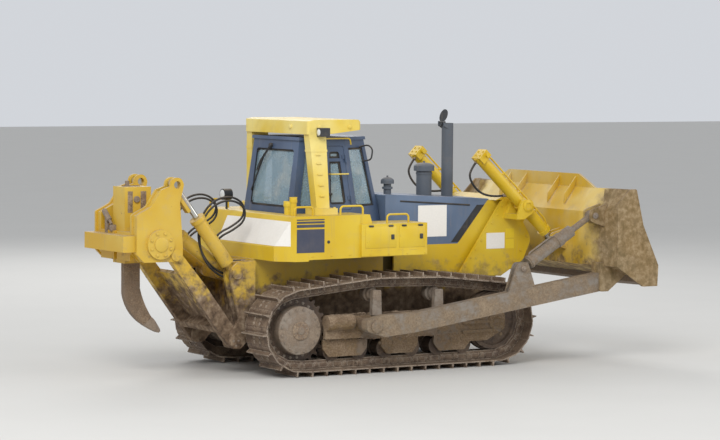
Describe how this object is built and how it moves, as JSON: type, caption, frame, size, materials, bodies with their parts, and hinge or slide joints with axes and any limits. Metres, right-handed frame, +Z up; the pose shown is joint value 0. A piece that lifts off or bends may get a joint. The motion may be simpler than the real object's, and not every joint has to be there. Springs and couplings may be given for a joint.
{
  "type": "bulldozer",
  "caption": "Crawler bulldozer with a raised blade, a cab under a two-post rollover frame and a single-shank ripper at the rear",
  "frame": {"origin": "middle of the machine's box, on the ground under the tracks", "axes": "+X forward to the blade, +Y to the driver's left, +Z up"},
  "size_m": [7.895, 4.014, 3.6206],
  "materials": {
    "yellow_paint": "satin enamel, dusty and scuffed",
    "hood_paint": "satin enamel, dusty",
    "cab_paint": "satin enamel, dusty",
    "dark_paint": "satin, dusty",
    "track_steel": "worn bright on the wearing faces, mud in the links",
    "worn_steel": "worn bare steel with rust in the corners",
    "rod_chrome": "hard chrome",
    "window_glass": "clear, dusty",
    "seat_vinyl": "grained vinyl",
    "black_plastic": "grained",
    "arm_paint": "paint worn off to pale scoured steel and dried mud",
    "engine_paint": "oily"
  },
  "bodies": {
    "chassis": {"air_intakes": "dark_paint", "belly_guard": "yellow_paint", "cab_floor": "dark_paint", "cab_glass": "window_glass", "cab_shell": "cab_paint", "carrier_rollers": "track_steel", "consoles": "black_plastic", "cross_shafts": "worn_steel", "engine_block": "engine_paint", "exhaust_pipe": "dark_paint", "fenders": "yellow_paint", "filler_necks": "dark_paint", "final_drives": "yellow_paint", "fuel_tank": "yellow_paint", "grille": "dark_paint", "handrails": "yellow_paint", "hood": "hood_paint", "idlers": "track_steel", "lift_yokes": "yellow_paint", "main_frame": "yellow_paint", "radiator": "dark_paint", "radiator_guard": "yellow_paint", "ripper_bracket": "yellow_paint", "ripper_front_pins": "worn_steel", "rollover_frame": "yellow_paint", "seat": "seat_vinyl", "side_panels": "yellow_paint", "sprockets": "track_steel", "tool_boxes": "yellow_paint", "track_frame_left": "yellow_paint", "track_frame_right": "yellow_paint", "track_left": "track_steel", "track_right": "track_steel", "track_rollers": "track_steel", "work_lamps": "dark_paint"},
    "blade_group": {"push_arm_right": "arm_paint", "push_arm_left": "arm_paint", "blade": "yellow_paint", "cutting_edge": "worn_steel", "blade_tilt_cylinder": "yellow_paint", "blade_brace": "yellow_paint"},
    "lift_barrel_right": {"lift_barrel_right": "yellow_paint"},
    "lift_barrel_left": {"lift_barrel_left": "yellow_paint"},
    "lift_rod_right": {"lift_rod_right": "rod_chrome"},
    "lift_rod_left": {"lift_rod_left": "rod_chrome"},
    "rain_cap": {"rain_cap": "dark_paint"},
    "door_right": {"door_right": "cab_paint", "door_glass_right": "window_glass"},
    "door_left": {"door_left": "cab_paint", "door_glass_left": "window_glass"},
    "ripper_arm": {"ripper_arm": "yellow_paint"},
    "ripper_rear_pins": {"ripper_rear_pins": "worn_steel"},
    "ripper_tool": {"ripper_beam": "yellow_paint", "ripper_shank": "worn_steel", "ripper_point": "worn_steel"},
    "tilt_cylinder_pins": {"tilt_cylinder_pins": "worn_steel"},
    "ripper_tilt_barrels": {"ripper_tilt_barrels": "yellow_paint"},
    "ripper_tilt_rods": {"ripper_tilt_rods": "rod_chrome"},
    "ripper_lift_barrels": {"ripper_lift_barrels": "yellow_paint"},
    "ripper_lift_rods": {"ripper_lift_rods": "rod_chrome"}
  },
  "joints": [
    {"name": "blade_lift", "type": "hinge", "parent": "chassis", "child": "blade_group", "pos_m": [-0.6475, 0, 0.69], "axis": [0, -1, 0], "range_deg": [-22, 1]},
    {"name": "lift_swing_right", "type": "hinge", "parent": "chassis", "child": "lift_barrel_right", "pos_m": [2.3525, -0.85, 2.24], "axis": [0, -1, 0], "range_deg": [-27.39, 1.25]},
    {"name": "lift_stroke_right", "type": "slide", "parent": "lift_barrel_right", "child": "lift_rod_right", "axis": [0.7278, 0, -0.6858], "range_m": [-0.059, 1.284]},
    {"name": "lift_swing_left", "type": "hinge", "parent": "chassis", "child": "lift_barrel_left", "pos_m": [2.3525, 0.85, 2.24], "axis": [0, -1, 0], "range_deg": [-27.39, 1.25]},
    {"name": "lift_stroke_left", "type": "slide", "parent": "lift_barrel_left", "child": "lift_rod_left", "axis": [0.7278, 0, -0.6858], "range_m": [-0.059, 1.284]},
    {"name": "ripper_lift", "type": "hinge", "parent": "chassis", "child": "ripper_arm", "pos_m": [-2.2575, 0, 0.45], "axis": [0, 1, 0], "range_deg": [-60, 3]},
    {"name": "ripper_levelling", "type": "hinge", "parent": "ripper_arm", "child": "ripper_rear_pins", "pos_m": [-3.1775, 0, 1.68], "axis": [0, 1, 0], "range_deg": [-3, 60]},
    {"name": "ripper_pitch", "type": "hinge", "parent": "ripper_rear_pins", "child": "ripper_tool", "pos_m": [-3.1775, 0, 1.68], "axis": [0, 1, 0], "range_deg": [-12, 12]},
    {"name": "tilt_cylinder_swing", "type": "hinge", "parent": "chassis", "child": "tilt_cylinder_pins", "pos_m": [-2.2375, 0, 1.4], "axis": [0, 1, 0], "range_deg": [-60, 3]},
    {"name": "tilt_cylinder_nod", "type": "hinge", "parent": "tilt_cylinder_pins", "child": "ripper_tilt_barrels", "pos_m": [-2.2375, 0, 1.4], "axis": [0, 1, 0], "range_deg": [-5.85, 5.85]},
    {"name": "tilt_stroke", "type": "slide", "parent": "ripper_tilt_barrels", "child": "ripper_tilt_rods", "axis": [-0.599, 0, 0.8008], "range_m": [-0.123, 0.123]},
    {"name": "ripper_lift_cylinder_swing", "type": "hinge", "parent": "chassis", "child": "ripper_lift_barrels", "pos_m": [-2.2375, 0, 1.4], "axis": [0, 1, 0], "range_deg": [-63.83, 3.19]},
    {"name": "ripper_lift_stroke", "type": "slide", "parent": "ripper_lift_barrels", "child": "ripper_lift_rods", "axis": [-0.8099, 0, 0.5865], "range_m": [-0.03, 0.596]},
    {"name": "rain_cap_swing", "type": "hinge", "parent": "chassis", "child": "rain_cap", "pos_m": [1.5035, 0, 3.433], "axis": [0, 1, 0], "range_deg": [0, 72]},
    {"name": "door_right_swing", "type": "hinge", "parent": "chassis", "child": "door_right", "pos_m": [-0.4275, -0.70798, 2.23592], "axis": [-0.1395, 0.0507, 0.9889], "range_deg": [0, 85]},
    {"name": "door_left_swing", "type": "hinge", "parent": "chassis", "child": "door_left", "pos_m": [-0.4275, 0.70798, 2.23592], "axis": [0.1395, 0.0507, -0.9889], "range_deg": [0, 85]}
  ],
  "couplings": [
    {"joint": "lift_swing_right", "follows": "blade_lift", "ratio": 1.2451},
    {"joint": "lift_stroke_right", "follows": "blade_lift", "m_per_rad": -3.3433},
    {"joint": "lift_swing_left", "follows": "blade_lift", "ratio": 1.2451},
    {"joint": "lift_stroke_left", "follows": "blade_lift", "m_per_rad": -3.3433},
    {"joint": "ripper_levelling", "follows": "ripper_lift", "ratio": -1},
    {"joint": "tilt_cylinder_swing", "follows": "ripper_lift", "ratio": 1},
    {"joint": "tilt_cylinder_nod", "follows": "ripper_pitch", "ratio": 0.4874},
    {"joint": "tilt_stroke", "follows": "ripper_pitch", "m_per_rad": -0.5844},
    {"joint": "ripper_lift_cylinder_swing", "follows": "ripper_lift", "ratio": 1.0638},
    {"joint": "ripper_lift_stroke", "follows": "ripper_lift", "m_per_rad": -0.5686}
  ]
}
